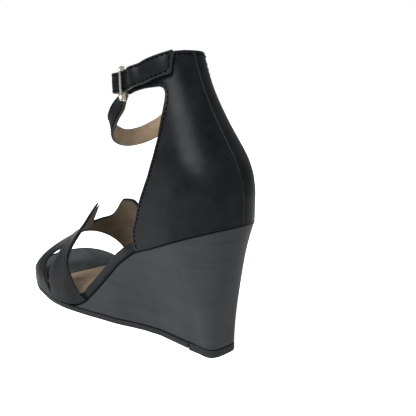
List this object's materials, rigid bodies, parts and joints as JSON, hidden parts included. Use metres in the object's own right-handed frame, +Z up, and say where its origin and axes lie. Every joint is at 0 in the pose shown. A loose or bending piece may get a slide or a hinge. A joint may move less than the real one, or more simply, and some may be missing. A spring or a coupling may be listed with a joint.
{
  "type": "wedge sandal",
  "caption": "Left wedge-heel sandal with an open toe, enclosed heel, crossed-band vamp and buckled ankle strap.",
  "frame": {"origin": "on the ground under the centre of the shoe's bounding box", "axes": "+X to the toe, +Y to the outer (lateral) side of the foot, +Z up"},
  "size_m": [0.2244, 0.0822, 0.181],
  "materials": {
    "upper_leather": "satin black smooth leather with a soft polish",
    "sock_black_leather": "satin black smooth leather",
    "wedge_leather": "charcoal leather with a fine brushed, horizontally streaked surface",
    "lining_leather": "matt taupe lining leather",
    "sole_rubber": "matt charcoal rubber",
    "wedge_core": "pressed cork composite, hidden",
    "board": "pressed fibre board, hidden",
    "foam": "soft foam, hidden",
    "steel": "plain steel, hidden",
    "buckle_metal": "polished pale metal with a slight warm tint"
  },
  "bodies": {
    "shoe": {"outsole": "sole_rubber", "top_lift": "sole_rubber", "top_lift_pin_1": "steel", "top_lift_pin_2": "steel", "top_lift_pin_3": "steel", "wedge_block": "wedge_core", "wedge_cover": "wedge_leather", "shank": "steel", "insole_board": "board", "seat_nail_1": "steel", "seat_nail_2": "steel", "seat_nail_3": "steel", "seat_nail_4": "steel", "seat_nail_5": "steel", "footbed_cushion": "foam", "footbed_rim": "upper_leather", "heel_sock": "lining_leather", "forepart_sock": "sock_black_leather", "quarter_lateral": "upper_leather", "quarter_medial": "upper_leather", "quarter_lining": "lining_leather", "heel_counter": "board", "vamp": "upper_leather", "vamp_lining": "lining_leather", "ankle_strap": "upper_leather", "ankle_strap_lining": "lining_leather", "buckle_loop": "upper_leather"},
    "buckle_frame": {"buckle_frame": "buckle_metal"},
    "buckle_prong": {"buckle_prong": "buckle_metal"}
  },
  "joints": [
    {"name": "buckle_hinge", "type": "hinge", "parent": "shoe", "child": "buckle_frame", "pos_m": [-0.02831, 0.01972, 0.1628], "axis": [0, 0, 1], "range_deg": [-6, 0]},
    {"name": "prong_hinge", "type": "hinge", "parent": "buckle_frame", "child": "buckle_prong", "pos_m": [-0.02831, 0.01972, 0.1628], "axis": [0, 0, 1], "range_deg": [0, 12]}
  ]
}
